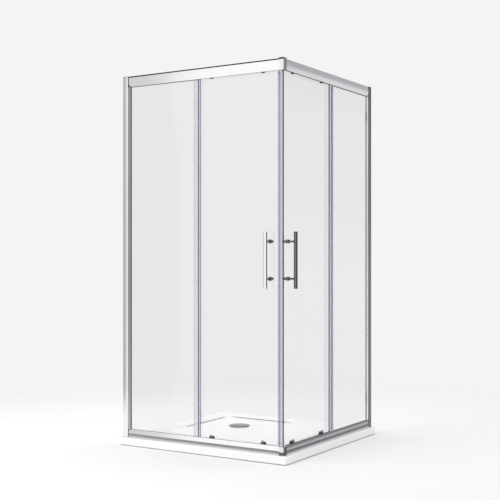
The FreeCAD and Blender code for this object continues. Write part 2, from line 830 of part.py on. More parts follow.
def frame_screws():
    """All the frame's self-tapping screws on one side."""
    screws = []
    web_u = channel_edge_u - jamb_web_thickness
    for z in (header_port_z, rail_port_z):
        screws.append(screw(web_u, port_v, z, Vector(1, 0, 0)))
    for z in jamb_screw_heights():
        screws.append(screw(wall_u + jamb_screw_from_wall, channel_in_v, z, Vector(0, -1, 0)))
    corner_v = inner_fin_v + corner_screw_from_fin
    screws.append(screw(corner_u - corner_screw_setback, corner_v, header_shelf_z, Vector(0, 0, 1)))
    screws.append(screw(corner_u - corner_screw_setback, corner_v, groove_floor_z, Vector(0, 0, -1)))
    return screws


# Fixed glass

def fixed_glass_block():
    low_z = groove_floor_z + glass_bed
    high_z = header_shelf_z - glass_bed
    return block(fixed_glass_edge_u, fixed_glass_free_edge, fixed_in_v, fixed_out_v, low_z, high_z)


def glazing_gasket():
    """The rubber strip round the three held edges of the fixed glass."""
    foot = block(
        plug_end_u, fixed_glass_free_edge, inner_fin_v, outer_fin_v, groove_floor_z, rail_top_z + fin_thickness
    )
    head = block(
        plug_end_u, fixed_glass_free_edge, inner_fin_v, outer_fin_v, header_low_z - fin_thickness, header_shelf_z
    )
    side_end_u = jamb_nose_end_u + fin_thickness
    side = block(channel_edge_u, side_end_u, inner_fin_v, outer_fin_v, rail_top_z, header_low_z)
    return fused([foot, head, side]).cut(fixed_glass_block())


def fixed_edge_seal():
    """The clear strip on the fixed glass's free edge, whose fin closes the gap to the door."""
    back_u = fixed_glass_free_edge - edge_seal_grip
    front_u = fixed_glass_free_edge + edge_seal_web
    inner_v = fixed_in_v - edge_seal_wall
    outer_v = fixed_out_v + edge_seal_wall
    grip = block(back_u, front_u, inner_v, outer_v, seal_low_z, seal_high_z)
    grip = grip.cut(fixed_glass_block())
    fin_u = fixed_glass_free_edge - edge_seal_fin_setback
    fin_end_v = door_out_v + running_gap
    fin_low_z = seal_low_z + edge_seal_fin_end_cut
    fin = block(fin_u - edge_seal_fin_thickness, fin_u, fin_end_v, inner_v, fin_low_z, seal_high_z)
    return fused([grip, fin])


# Door

def door_glass():
    pane = block(door_back_u, door_lead_u, door_in_v, door_out_v, door_foot_z, door_head_z)
    for u in roller_places:
        for z in (top_bolt_z, lower_bolt_z):
            pane = pane.cut(rod_outward(u, z, glass_hole_radius, door_in_v, door_out_v))
    for z in post_heights():
        pane = pane.cut(rod_outward(handle_u, z, glass_hole_radius, door_in_v, door_out_v))
    return pane


def magnet_outline():
    """The magnet's (u, v) section, laid parallel to the 45-degree face of the seal."""
    across = Vector(1, 1, 0).normalize()
    inward = Vector(-1, 1, 0).normalize()
    face = Vector(door_mid_v, door_mid_v, 0) + inward * (mag_seal_half_gap + magnet_cover)
    face = face - across * magnet_shift
    corners = []
    for along, depth in ((-1, 0), (1, 0), (1, 1), (-1, 1)):
        corner = face + across * (along * magnet_width / 2) + inward * (depth * magnet_thickness)
        corners.append((corner.x, corner.y))
    return corners


def magnet_strip():
    return extrude_up(magnet_outline(), seal_low_z, seal_high_z)


def magnetic_seal():
    """The strip on the door's leading edge, cut at 45 degrees where it meets the other door's strip."""
    low_v = door_in_v - mag_seal_wall
    high_v = door_out_v + mag_seal_wall
    diagonal_shift = math.hypot(mag_seal_half_gap, mag_seal_half_gap)
    outline = [
        (door_lead_u - mag_seal_grip, low_v),
        (low_v - diagonal_shift, low_v),
        (high_v - diagonal_shift, high_v),
        (door_lead_u - mag_seal_grip, high_v),
    ]
    strip = extrude_up(outline, seal_low_z, seal_high_z)
    return strip.cut(door_glass()).cut(magnet_strip())


def trailing_seal():
    """The strip on the door's trailing edge, with a fin towards the fixed glass."""
    back_u = door_back_u - edge_seal_web
    front_u = door_back_u + trailing_seal_grip
    inner_v = door_in_v - edge_seal_wall
    outer_v = door_out_v + edge_seal_wall
    grip = block(back_u, front_u, inner_v, outer_v, seal_low_z, seal_high_z)
    fin_end_v = fixed_in_v - trailing_fin_gap
    fin = block(back_u, back_u + edge_seal_fin_thickness, outer_v, fin_end_v, seal_low_z, seal_high_z)
    return fused([grip, fin]).cut(door_glass())


# Handle

def post_heights():
    return [handle_height - handle_post_spacing / 2, handle_height + handle_post_spacing / 2]


def bar_v():
    return door_out_v + handle_standoff


def handle_bar():
    """A round tube with a plug in each end and a hole for each post."""
    v = bar_v()
    low_z = handle_height - handle_length / 2
    high_z = handle_height + handle_length / 2
    inner_radius = handle_radius - handle_tube_wall
    tube = rod_upright(handle_u, v, handle_radius, low_z + handle_cap_thickness, high_z - handle_cap_thickness)
    tube = tube.cut(rod_upright(handle_u, v, inner_radius, low_z, high_z))
    for z in post_heights():
        tube = tube.cut(rod_outward(handle_u, z, post_radius + screw_clearance, door_out_v, v))
    return [tube, bar_end(low_z, 1), bar_end(high_z, -1)]


def bar_end(end_z, inward):
    """One end plug: a rounded disc that covers the tube's end, and the part that sits inside it."""
    v = bar_v()
    disc_z = end_z + inward * handle_cap_thickness
    inside_z = disc_z + inward * handle_cap_insert
    disc = rod_upright(handle_u, v, handle_radius, min(end_z, disc_z), max(end_z, disc_z))
    rim = [edge for edge in disc.Edges if abs(edge.CenterOfMass.z - end_z) < screw_clearance]
    disc = disc.makeFillet(handle_cap_radius, rim[:1])
    insert_radius = handle_radius - handle_tube_wall - screw_clearance
    insert = rod_upright(handle_u, v, insert_radius, min(disc_z, inside_z), max(disc_z, inside_z))
    return fused([disc, insert])


def handle_post(z):
    """A turned post between glass and bar, with its stud through the glass."""
    seat_v = bar_v() - handle_radius + post_seat_depth
    post = rod_outward(handle_u, z, post_radius, door_out_v, seat_v)
    base = rod_outward(handle_u, z, post_base_radius, door_out_v, door_out_v + post_base_height)
    stud_end_v = door_in_v - cap_nut_bore_depth + seam
    stud = rod_outward(handle_u, z, post_stud_radius, stud_end_v, door_out_v)
    return fused([post, base, stud])


def handle_cap_nut(z):
    """The stepped round nut on the inside of the glass, with a blind bore for the stud."""
    radius = cap_nut_edge_radius
    bore = post_stud_radius + screw_clearance
    profile = [
        (0, bore),
        (0, cap_nut_radius),
        (-cap_nut_flange_thickness, cap_nut_radius, radius),
        (-cap_nut_flange_thickness, cap_nut_boss_radius),
        (-cap_nut_length, cap_nut_boss_radius, radius),
        (-cap_nut_length, 0),
        (-cap_nut_bore_depth, 0),
        (-cap_nut_bore_depth, bore),
    ]
    return turned(profile, handle_u, z, door_in_v)


# Upper roller gear

def wheel(u, z, radius, bore):
    """A grooved wheel, turned about an axis that runs outwards; the groove rides over the track's bead."""
    groove_half = bead_foot_width / 2 + groove_flank_clearance
    floor_half = groove_half * wheel_groove_floor_share
    middle = wheel_width / 2
    profile = [
        (0, bore),
        (0, radius),
        (middle - groove_half, radius),
        (middle - floor_half, radius - wheel_groove_depth),
        (middle + floor_half, radius - wheel_groove_depth),
        (middle + groove_half, radius),
        (wheel_width, radius),
        (wheel_width, bore),
    ]
    return turned(profile, u, z, wheel_in_v)


def top_wheel(u):
    return wheel(u, top_axle_z, top_wheel_radius, wheel_pin_radius + pin_running_clearance)


def top_roller_bracket(u):
    """The plate bolted to the top of the glass, with the riveted pin that the wheel turns on."""
    high_z = top_axle_z + bracket_head
    radius = bracket_corner_radius
    outline = [
        (u - bracket_half_width, header_low_z, bracket_foot_radius),
        (u + bracket_half_width, header_low_z, bracket_foot_radius),
        (u + bracket_half_width, high_z, radius),
        (u - bracket_half_width, high_z, radius),
    ]
    plate = extrude_outward(outline, bracket_in_v, door_in_v)
    collar = rod_outward(u, top_axle_z, pin_collar_radius, wheel_out_v + running_gap, bracket_in_v)
    pin_end_v = wheel_in_v - running_gap - pin_head_thickness
    pin = rod_outward(u, top_axle_z, wheel_pin_radius, pin_end_v, bracket_in_v)
    head = rod_outward(u, top_axle_z, pin_head_radius, pin_end_v, wheel_in_v - running_gap)
    hole = rod_outward(u, top_bolt_z, bolt_shank_radius + screw_clearance, bracket_in_v, door_in_v)
    return fused([plate, collar, pin, head]).cut(hole)


def top_roller_bolt(u):
    """The flat round cap on the outside of the glass and the bolt that it carries."""
    profile = [
        (0, 0),
        (0, bolt_cap_radius),
        (bolt_cap_height, bolt_cap_radius, bolt_cap_edge_radius),
        (bolt_cap_height, 0),
    ]
    cap = turned(profile, u, top_bolt_z, door_out_v)
    shank = rod_outward(u, top_bolt_z, bolt_shank_radius, bracket_in_v, door_out_v)
    return fused([cap, shank])


# Lower roller gear

def housing_back_v():
    return door_in_v - housing_back_wall


def housing_front_v():
    return wheel_in_v - running_gap - sled_play


def lower_roller_housing(u):
    """The moulded housing inside the glass that guides the sprung sled: open at its foot, with a slot."""
    front_v = housing_front_v() - housing_front_wall
    low_z = rail_base_z + housing_foot
    high_z = rail_base_z + housing_head
    body = block(u - housing_half_width, u + housing_half_width, front_v, door_in_v, low_z, high_z)
    top_edges = [edge for edge in body.Edges if is_outer_edge(edge, front_v, high_z)]
    body = body.makeFillet(housing_edge_radius, top_edges)
    room = housing_half_width - housing_side_wall
    cavity_top_z = high_z - housing_top_wall
    cavity = block(u - room, u + room, housing_front_v(), housing_back_v(), low_z, cavity_top_z)
    window_top_z = low_z + housing_window
    window = block(u - room, u + room, front_v, housing_front_v(), low_z, window_top_z)
    half_slot = housing_slot_half_width
    slot_foot_z = rail_base_z + housing_slot_foot
    slot = block(u - half_slot, u + half_slot, housing_back_v(), door_in_v, slot_foot_z, window_top_z)
    hole_radius = bolt_shank_radius + screw_clearance
    hole = rod_outward(u, lower_bolt_z, hole_radius, housing_back_v(), door_in_v)
    return body.cut(cavity).cut(window).cut(slot).cut(hole)


def is_outer_edge(edge, front_v, high_z):
    """Whether an edge lies on the housing's face towards the room or on top of it, away from the glass."""
    box = edge.BoundBox
    on_front = abs(box.YMin + front_v) < screw_clearance and abs(box.YMax + front_v) < screw_clearance
    on_top = box.ZMin > high_z - screw_clearance
    upright = abs(box.ZMax - box.ZMin) > housing_edge_radius
    return on_front and (on_top or upright)


def lower_roller_knob(u):
    """The three-cornered knob on the outside of the glass, with the screw that holds the housing."""
    outer_v = door_out_v + knob_thickness
    foot_z = lower_bolt_z - knob_foot_drop
    outline = [
        (u - knob_half_width, foot_z, knob_foot_radius),
        (u + knob_half_width, foot_z, knob_foot_radius),
        (u, lower_bolt_z + knob_peak_rise, knob_peak_radius),
    ]
    knob = extrude_outward(outline, door_out_v, outer_v)
    rim = [edge for edge in knob.Edges if edge.BoundBox.YMax < screw_clearance - outer_v]
    knob = knob.makeFillet(knob_edge_radius, rim)
    shank = rod_outward(u, lower_bolt_z, bolt_shank_radius, housing_back_v(), door_out_v)
    return fused([knob, shank])


def lower_sled(u):
    """The sled that slides up and down in the housing and holds the lower wheel's pin."""
    neck = housing_half_width - housing_side_wall - sled_play
    room = sled_half_width
    back_v = housing_back_v() - running_gap
    plate_v = back_v - sled_plate_thickness
    foot_z = rail_base_z + sled_foot
    top_z = rail_base_z + sled_top
    shoulder_z = rail_base_z + sled_tab_head
    plate = block(u - room, u + room, plate_v, back_v, foot_z, shoulder_z)
    neck_plate = block(u - neck, u + neck, plate_v, back_v, shoulder_z, top_z)
    bridge_half = sled_bridge_half_width
    bridge_v = wheel_in_v - running_gap
    bridge = block(u - bridge_half, u + bridge_half, bridge_v, back_v, top_z - sled_bridge_thickness, top_z)
    tab_low_z = rail_base_z + sled_tab_foot
    tab_out_v = bridge_v
    tab_in_v = tab_out_v - sled_tab_thickness
    tab = block(u - room, u + room, tab_in_v, tab_out_v, tab_low_z, shoulder_z)
    pieces = [plate, neck_plate, bridge, tab]
    for side in (-1, 1):
        edge_u = u + side * room
        near_u = u + side * (room - sled_arm_width)
        pieces.append(block(min(edge_u, near_u), max(edge_u, near_u), tab_in_v, back_v, tab_low_z, shoulder_z))
    pieces.append(rod_outward(u, lower_axle_z, lower_pin_radius, tab_out_v, plate_v + running_gap))
    return fused(pieces)


def lower_wheel(u):
    return wheel(u, lower_axle_z, lower_wheel_radius, lower_pin_radius + pin_running_clearance)


def helix_place(angle, rise):
    """A point of the spring's centre line and its heading there; rise is the climb for each radian."""
    point = Vector(spring_radius * math.cos(angle), spring_radius * math.sin(angle), rise * angle)
    heading = Vector(-spring_radius * math.sin(angle), spring_radius * math.cos(angle), rise).normalize()
    return point, heading


def arc_middle(start, heading, end):
    """The middle of the arc that leaves start along heading and ends at end."""
    chord = end - start
    along = Vector(chord).normalize()
    ahead = heading.dot(along)
    sideways = (heading - along * ahead).normalize()
    return start + chord / 2 + sideways * (chord.Length / 2 * math.tan(math.acos(ahead) / 2))


def two_arcs(start, heading, end, end_heading):
    """The pair of tangent arcs that joins two points with the given headings."""
    chord = end - start
    apart = 1 - heading.dot(end_heading)
    forward = chord.dot(heading + end_heading)
    reach = (math.sqrt(forward ** 2 + 2 * apart * chord.dot(chord)) - forward) / (2 * apart)
    joint = (start + end + (heading - end_heading) * reach) / 2
    first = Part.Arc(start, arc_middle(start, heading, joint), joint)
    second = Part.Arc(joint, arc_middle(end, end_heading * -1, joint), end)
    return [first.toShape(), second.toShape()]


def sled_spring(u):
    """The coil spring between the sled's bridge and the housing's ceiling, with its ends ground flat."""
    low_z = rail_base_z + sled_top
    high_z = rail_base_z + housing_head - housing_top_wall
    axis_v = wheel_mid_v
    length = high_z - low_z - 2 * spring_wire_radius
    rise = length / (2 * math.pi * spring_turns)
    edges = []
    for step in range(spring_turns * 4):
        start, heading = helix_place(math.pi / 2 * step, rise)
        end, end_heading = helix_place(math.pi / 2 * (step + 1), rise)
        edges += two_arcs(start, heading, end, end_heading)
    start, heading = helix_place(0, rise)
    section = Part.Wire(Part.makeCircle(spring_wire_radius, start, heading))
    coil = Part.Wire(edges).makePipeShell([section], True, False)
    coil.translate(Vector(u, -axis_v, low_z + spring_wire_radius))
    return coil


def door_stops():
    """The rubber buffers on the header's track at both ends of the door's travel."""
    closed_u = roller_places[1] + top_wheel_radius + stop_gap
    open_u = roller_places[0] - door_travel - top_wheel_radius - stop_gap
    stops = []
    for low_u in (closed_u, open_u - stop_length):
        high_u = low_u + stop_length
        stop = block(low_u, high_u, wheel_in_v, wheel_out_v, track_z, track_z + stop_height)
        stops.append(stop.cut(extrude_along(track_bead(track_z), low_u, high_u)))
    return stops


# Writing the nodes

def as_drawn(shape):
    return shape


def export(node, shapes):
    """Write one node: a single solid, or a group of separate solids."""
    shape = shapes[0] if len(shapes) == 1 else Part.makeCompound(shapes)
    if not shape.isValid():
        print("INVALID", node)
    shape.exportStep(f"parts/{node}.step")
    print(node, len(shape.Solids), round(shape.Volume))


def export_frame_pieces():
    """The pieces that there is one of, and the small groups shared by both sides."""
    export("shower_tray", [shower_tray()])
    export("waste_body", [waste_body()])
    export("waste_gasket", [waste_gasket()])
    export("waste_cover", [waste_cover()])
    export("corner_block_top", [top_corner_block()])
    export("corner_block_bottom", [lower_corner_block()])
    both = (as_drawn, mirror_to_right)
    end_caps = (header_end_plug, rail_end_plug, channel_cap)
    export("frame_end_caps", [place(make_cap()) for place in both for make_cap in end_caps])
    export("frame_screws", [place(piece) for place in both for piece in frame_screws()])
    export("door_stops", [place(piece) for place in both for piece in door_stops()])
    export("glazing_gaskets", [place(glazing_gasket()) for place in both])


def export_side(side, place):
    """The pieces of one side, each as its own node."""
    export(f"wall_channel_{side}", [place(wall_channel())])
    export(f"jamb_{side}", [place(jamb())])
    export(f"header_{side}", [place(header())])
    export(f"bottom_rail_{side}", [place(bottom_rail())])
    export(f"fixed_glass_{side}", [place(fixed_glass_block())])
    export(f"fixed_edge_seal_{side}", [place(fixed_edge_seal())])
    export(f"{side}_door_glass", [place(door_glass())])
    export(f"{side}_magnetic_seal", [place(magnetic_seal())])
    export(f"{side}_magnet_strip", [place(magnet_strip())])
    export(f"{side}_trailing_seal", [place(trailing_seal())])
    export(f"{side}_handle_bar", [place(piece) for piece in handle_bar()])
    export(f"{side}_handle_posts", [place(handle_post(z)) for z in post_heights()])
    export(f"{side}_handle_cap_nuts", [place(handle_cap_nut(z)) for z in post_heights()])
    export(f"{side}_top_brackets", [place(top_roller_bracket(u)) for u in roller_places])
    export(f"{side}_top_bolts", [place(top_roller_bolt(u)) for u in roller_places])
    export(f"{side}_lower_housings", [place(lower_roller_housing(u)) for u in roller_places])
    export(f"{side}_lower_knobs", [place(lower_roller_knob(u)) for u in roller_places])
    for letter, u in zip("ab", roller_places):
        export(f"{side}_top_wheel_{letter}", [place(top_wheel(u))])
        export(f"{side}_lower_wheel_{letter}", [place(lower_wheel(u))])
        export(f"{side}_lower_sled_{letter}", [place(lower_sled(u))])
        export(f"{side}_sled_spring_{letter}", [place(sled_spring(u))])


os.makedirs("parts", exist_ok=True)
export_frame_pieces()
export_side("front", as_drawn)
export_side("right", mirror_to_right)
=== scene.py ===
import math
import bmesh
import bpy
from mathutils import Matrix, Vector


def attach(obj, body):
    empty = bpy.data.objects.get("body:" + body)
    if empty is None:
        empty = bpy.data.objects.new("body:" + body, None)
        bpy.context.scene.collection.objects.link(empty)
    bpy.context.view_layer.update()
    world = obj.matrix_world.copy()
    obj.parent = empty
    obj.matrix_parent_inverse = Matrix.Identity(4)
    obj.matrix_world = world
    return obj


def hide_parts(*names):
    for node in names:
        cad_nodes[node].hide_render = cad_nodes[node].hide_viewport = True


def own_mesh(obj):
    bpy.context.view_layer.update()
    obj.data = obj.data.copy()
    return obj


# A corner-entry shower enclosure: bright metal frame, clear glass, lilac-clear seals, white tray.
# Metres, the frame's own axes: the front side faces -Y, the right side faces +X.
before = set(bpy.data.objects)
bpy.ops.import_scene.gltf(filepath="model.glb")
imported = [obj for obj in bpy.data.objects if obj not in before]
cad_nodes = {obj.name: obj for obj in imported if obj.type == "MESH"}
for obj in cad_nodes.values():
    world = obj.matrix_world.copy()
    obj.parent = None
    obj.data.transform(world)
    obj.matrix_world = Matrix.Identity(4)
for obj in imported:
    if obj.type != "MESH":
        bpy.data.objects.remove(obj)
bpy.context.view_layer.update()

MM = 0.001
SIDES = ("front", "right")
LETTERS = ("a", "b")
OUT = {"front": (0, -1, 0), "right": (1, 0, 0)}
UP = (0, 0, 1)


# Nodes and colours

def linear(hex_colour):
    """An sRGB hex colour as the linear values that a shader takes."""
    shares = [int(hex_colour[i:i + 2], 16) / 255 for i in (1, 3, 5)]
    straight = [s / 12.92 if s <= 0.04045 else ((s + 0.055) / 1.055) ** 2.4 for s in shares]
    return (*straight, 1.0)


def add(tree, kind, inputs=None, **settings):
    """Add one node; inputs maps a socket's name or number to a value or to another node's socket."""
    node = tree.nodes.new(kind)
    for name, value in settings.items():
        setattr(node, name, value)
    for name, value in (inputs or {}).items():
        if isinstance(value, bpy.types.NodeSocket):
            tree.links.new(value, node.inputs[name])
        else:
            node.inputs[name].default_value = value
    return node


def new_material(name):
    """An empty material, its node tree and its output node."""
    material = bpy.data.materials.new(name)
    material.use_nodes = True
    tree = material.node_tree
    tree.nodes.clear()
    output = add(tree, "ShaderNodeOutputMaterial")
    return material, tree, output


def own_place(tree):
    """The object's own coordinates, in metres."""
    return add(tree, "ShaderNodeTexCoord").outputs["Object"]


def own_place_along(tree, axis):
    """The object's own coordinate along one axis, in metres."""
    return add(tree, "ShaderNodeSeparateXYZ", {0: own_place(tree)}).outputs[axis]


EVEN = (1, 1, 1)
# a noise pattern lies mostly between these two values
NOISE_LOW = 0.3
NOISE_HIGH = 0.7


def noise(tree, scale=EVEN, per_metre=1.0, detail=2.0):
    """A noise pattern on the object's coordinates, stretched by scale."""
    mapping = add(tree, "ShaderNodeMapping", {"Vector": own_place(tree), "Scale": scale})
    return add(tree, "ShaderNodeTexNoise", {
        "Vector": mapping.outputs[0], "Scale": per_metre, "Detail": detail}).outputs[0]


def spread(tree, pattern, low, high):
    """A noise pattern as a number between low and high."""
    return add(tree, "ShaderNodeMapRange", {
        "Value": pattern, "From Min": NOISE_LOW, "From Max": NOISE_HIGH,
        "To Min": low, "To Max": high}).outputs[0]


def over(tree, amount, colour, tone):
    """A colour with a tone or another colour laid over it."""
    return add(tree, "ShaderNodeMix", {0: amount, 6: colour, 7: tone}, data_type="RGBA").outputs[2]


def ramp(tree, value, start, end):
    """Softly from 0 at start to 1 at end."""
    return add(tree, "ShaderNodeMapRange", {
        "Value": value, "From Min": start, "From Max": end}, interpolation_type="SMOOTHSTEP").outputs[0]


def band(tree, axis, low, high):
    """1 between two places along an axis, in millimetres, 0 elsewhere."""
    return add(tree, "ShaderNodeMath", {
        0: own_place_along(tree, axis), 1: (low + high) / 2 * MM, 2: (high - low) / 2 * MM},
        operation="COMPARE").outputs[0]


def banded(tree, colour, bands):
    """A colour with bands laid over it; each is a lowest and a highest Z in millimetres, and a tone."""
    for low, high, tone in bands:
        colour = over(tree, band(tree, "Z", low, high), colour, linear(tone))
    return colour


def faces_toward(tree, ways, low, high):
    """1 on the faces that look one of the given ways, 0 on those that look elsewhere.

    low and high are the cosines of the angle to a way at which the 0 ends and the 1 begins."""
    normal = add(tree, "ShaderNodeNewGeometry").outputs["Normal"]
    most = None
    for way in ways:
        share = add(tree, "ShaderNodeVectorMath", {
            0: normal, 1: way}, operation="DOT_PRODUCT").outputs["Value"]
        if most:
            share = add(tree, "ShaderNodeMath", {0: most, 1: share}, operation="MAXIMUM").outputs[0]
        most = share
    return add(tree, "ShaderNodeMapRange", {"Value": most, "From Min": low, "From Max": high}).outputs[0]


# Finishes of metal

# die lines 1.2 mm apart: the real ones are finer and wouldn't show
DIE_LINES_ACROSS_PER_METRE = 830.0
DIE_LINES_ALONG_PER_METRE = 1.6
DIE_LINE_ROUGH = (0.07, 0.15)
# the polisher's waves, 45 mm across and half a metre long
WAVES_ACROSS_PER_METRE = 22.0
WAVES_ALONG_PER_METRE = 2.1
MILL_TONE = "#a2a3a6"
MILL_ROUGH = 0.45
POLISHED_FACE = (0.15, 0.30)
# the bottom rail's lower band, a painted shade and reflection: the heights between which it darkens, and
# the step that it ends under
SKIRT_FADE = (41 * MM, 52 * MM)
SKIRT_STEP = 60.2 * MM
# the lighter painted reflection at the foot of the rail's lower band
SKIRT_FOOT_TONE = "#dcdde0"


def along_profile(axis, across_per_metre, along_per_metre):
    """The scale of a pattern drawn out along one axis of the object."""
    return tuple(along_per_metre if letter == axis else across_per_metre for letter in "xyz")


def arched(tree, normal, middle, rise):
    """A bump that arches a face across X by rise about middle, as if it were slightly crowned."""
    offset = add(tree, "ShaderNodeMath", {
        0: own_place_along(tree, "X"), 1: middle}, operation="SUBTRACT").outputs[0]
    square = add(tree, "ShaderNodeMath", {0: offset, 1: offset}, operation="MULTIPLY").outputs[0]
    height = add(tree, "ShaderNodeMath", {0: square, 1: -rise}, operation="MULTIPLY").outputs[0]
    return add(tree, "ShaderNodeBump", {
        "Height": height, "Strength": 1.0, "Distance": 1.0, "Normal": normal}).outputs[0]


def shaded_skirt(tree, colour, top_tone):
    """The rail's colour above its step, and below it a painted shade and reflection that is lighter at its
    foot.
    """
    height = own_place_along(tree, "Z")
    lower = over(tree, ramp(tree, height, *SKIRT_FADE), linear(SKIRT_FOOT_TONE), linear(top_tone))
    higher = add(tree, "ShaderNodeMath", {0: height, 1: SKIRT_STEP}, operation="GREATER_THAN").outputs[0]
    return over(tree, higher, lower, colour)


def polished_aluminium(name, axis, dark="#efeff1", light="#f7f7f8", polished=None, skirt=None,
                       bands=(), crown=None):
    """Extruded aluminium, polished and bright anodised: a mirror with faint die lines and a slow waviness.

    polished lists the ways that the profile's polished faces look: the others keep the dull grey of the
    press. skirt is the painted tone at the top of the bottom rail's lower band, a painted shade and
    reflection that is lighter at its foot. bands lists darker bands by height, painted reflections. crown
    is the middle and the rise, across X, of a face that is slightly arched."""
    material, tree, output = new_material(f"polished_aluminium_{name}")
    lines = noise(tree, along_profile(
        axis, DIE_LINES_ACROSS_PER_METRE, DIE_LINES_ALONG_PER_METRE), detail=1.0)
    waves = noise(tree, along_profile(
        axis, WAVES_ACROSS_PER_METRE, WAVES_ALONG_PER_METRE), detail=1.0)
    rough = spread(tree, lines, *DIE_LINE_ROUGH)
    colour = over(tree, waves, linear(dark), linear(light))
    # the rail's lower band: a painted shade and reflection by height
    if skirt:
        colour = shaded_skirt(tree, colour, skirt)
    # darker bands by height: painted reflections
    colour = banded(tree, colour, bands)
    if polished:
        bright = faces_toward(tree, polished, *POLISHED_FACE)
        colour = over(tree, bright, linear(MILL_TONE), colour)
        rough = add(tree, "ShaderNodeMix", {0: bright, 2: MILL_ROUGH, 3: rough}).outputs[0]
    surface = add(tree, "ShaderNodeBump", {
        "Height": lines, "Strength": 0.06, "Distance": 0.1 * MM}).outputs[0]
    if crown:
        surface = arched(tree, surface, *crown)
    surface = add(tree, "ShaderNodeBump", {
        "Height": waves, "Strength": 0.35, "Distance": 0.5 * MM, "Normal": surface}).outputs[0]
    metal = add(tree, "ShaderNodeBsdfPrincipled", {
        "Base Color": colour, "Metallic": 1.0, "Roughness": rough, "Normal": surface})
    tree.links.new(metal.outputs[0], output.inputs[0])
    return material


# the haze of a polished plate, in soft spots about 11 mm wide
HAZE_PER_METRE = 90.0
PLATED_FACE = (0.86, 0.96)
# painted shade and dark reflections on the faces that don't look the plated ways, set as a dark satin
# plastic
PAINTED_DARK_TONE = "#3e3f42"


def chrome(name, dark="#e9eaec", light="#f4f5f6", rough=(0.03, 0.08), plated=None, bands=(), flanks=()):
    """Chromium, nickel or unplated stainless steel with a polish: a hard cool mirror with a faint haze.

    plated lists the ways that the plated faces look: the others get a dark satin plastic that paints in
    shade and dark reflections. bands lists darker bands by height, painted reflections and shade. flanks
    lists a way, a painted tone for the faces that look that way, and the cosines at which the tone begins
    and is full."""
    material, tree, output = new_material(name)
    haze = noise(tree, per_metre=HAZE_PER_METRE, detail=3.0)
    # painted darker reflections: bands by height, and flanks on the faces that look one way
    colour = banded(tree, over(tree, haze, linear(dark), linear(light)), bands)
    for way, tone, low, high in flanks:
        colour = over(tree, faces_toward(tree, [way], low, high), colour, linear(tone))
    surface = add(tree, "ShaderNodeBsdfPrincipled", {
        "Base Color": colour, "Metallic": 1.0, "Roughness": spread(tree, haze, *rough)})
    # the faces that don't look the plated ways: painted shade and dark reflection, as a dark satin plastic
    if plated:
        painted_dark_plastic = add(tree, "ShaderNodeBsdfPrincipled", {
            "Base Color": linear(PAINTED_DARK_TONE), "Roughness": 0.35, "IOR": 1.54})
        surface = add(tree, "ShaderNodeMixShader", {
            0: faces_toward(tree, plated, *PLATED_FACE), 1: painted_dark_plastic.outputs[0], 2: surface.outputs[0]})
    tree.links.new(surface.outputs[0], output.inputs[0])
    return material


# Finishes of plastic, rubber, resin and glass

# the mould's fine texture, 1.5 mm from grain to grain: the real one is finer and wouldn't show
GRAIN_PER_METRE = 1000 / 1.5
# slow clouds in the plastic's colour, 40 mm wide
CLOUDS_PER_METRE = 25.0
GRAIN_LESS_ROUGH = 0.05
GRAIN_MORE_ROUGH = 0.07


def moulded_plastic(name, dark, light, rough, ior=1.49):
    """Injection-moulded plastic: an even colour, a satin skin and a fine texture from the mould."""
    material, tree, output = new_material(name)
    grain = noise(tree, per_metre=GRAIN_PER_METRE)
    clouds = noise(tree, per_metre=CLOUDS_PER_METRE, detail=1.0)
    bump = add(tree, "ShaderNodeBump", {"Height": grain, "Strength": 0.25, "Distance": 0.04 * MM})
    plastic = add(tree, "ShaderNodeBsdfPrincipled", {
        "Base Color": over(tree, clouds, linear(dark), linear(light)),
        "Roughness": spread(tree, grain, rough - GRAIN_LESS_ROUGH, rough + GRAIN_MORE_ROUGH),
        "IOR": ior, "Normal": bump.outputs[0]})
    tree.links.new(plastic.outputs[0], output.inputs[0])
    return material


# the gelcoat's flow, 70 mm wide, and its orange peel, 4 mm wide
FLOW_PER_METRE = 14.0
PEEL_PER_METRE = 260.0
PEEL_ROUGH = (0.16, 0.26)
# a painted contact shadow along the foot, as a grey band
FOOT_PAINTED_SHADOW = (-1, 4, "#9c9da0")


def tray_gelcoat():
    """Stone resin under a sprayed white gelcoat: glossy, with the coat's soft unevenness.

    A grey band a few millimetres over the floor is a painted contact shadow."""
    material, tree, output = new_material("tray_gelcoat")
    flow = noise(tree, per_metre=FLOW_PER_METRE)
    peel = noise(tree, per_metre=PEEL_PER_METRE, detail=1.0)
    colour = over(tree, flow, linear("#f4f4f4"), linear("#f8f8f8"))
    bump = add(tree, "ShaderNodeBump", {"Height": peel, "Strength": 0.12, "Distance": 0.05 * MM})
    coat = add(tree, "ShaderNodeBsdfPrincipled", {
        "Base Color": banded(tree, colour, [FOOT_PAINTED_SHADOW]), "Roughness": spread(tree, peel, *PEEL_ROUGH),
        "IOR": 1.5, "Normal": bump.outputs[0]})
    tree.links.new(coat.outputs[0], output.inputs[0])
    return material


# the roller wave of the toughening furnace, about 250 mm from crest to crest
ROLLER_WAVES_PER_METRE = (4.0, 4.0, 4.0)


def toughened_glass():
    """Clear toughened float glass: colourless face on, with the slightest roller wave.

    Lamps shine through it."""
    material, tree, output = new_material("toughened_clear_glass")
    wave = noise(tree, ROLLER_WAVES_PER_METRE, detail=0.0)
    bump = add(tree, "ShaderNodeBump", {"Height": wave, "Strength": 0.02, "Distance": 1.0 * MM})
    pane = add(tree, "ShaderNodeBsdfPrincipled", {
        "Base Color": linear("#f4f4f4"), "Roughness": 0.0, "IOR": 1.52, "Transmission Weight": 1.0,
        "Normal": bump.outputs[0]})
    clear = add(tree, "ShaderNodeBsdfTransparent", {"Color": linear("#fafcfb")})
    ray = add(tree, "ShaderNodeLightPath")
    mixed = add(tree, "ShaderNodeMixShader", {
        0: ray.outputs["Is Shadow Ray"], 1: pane.outputs[0], 2: clear.outputs[0]})
    tree.links.new(mixed.outputs[0], output.inputs[0])
    return material


# the extruder's flow in a seal: streaks 17 mm wide and half a metre long
STREAKS_PER_METRE = (60.0, 60.0, 2.0)
STREAK_ROUGH = (0.16, 0.30)


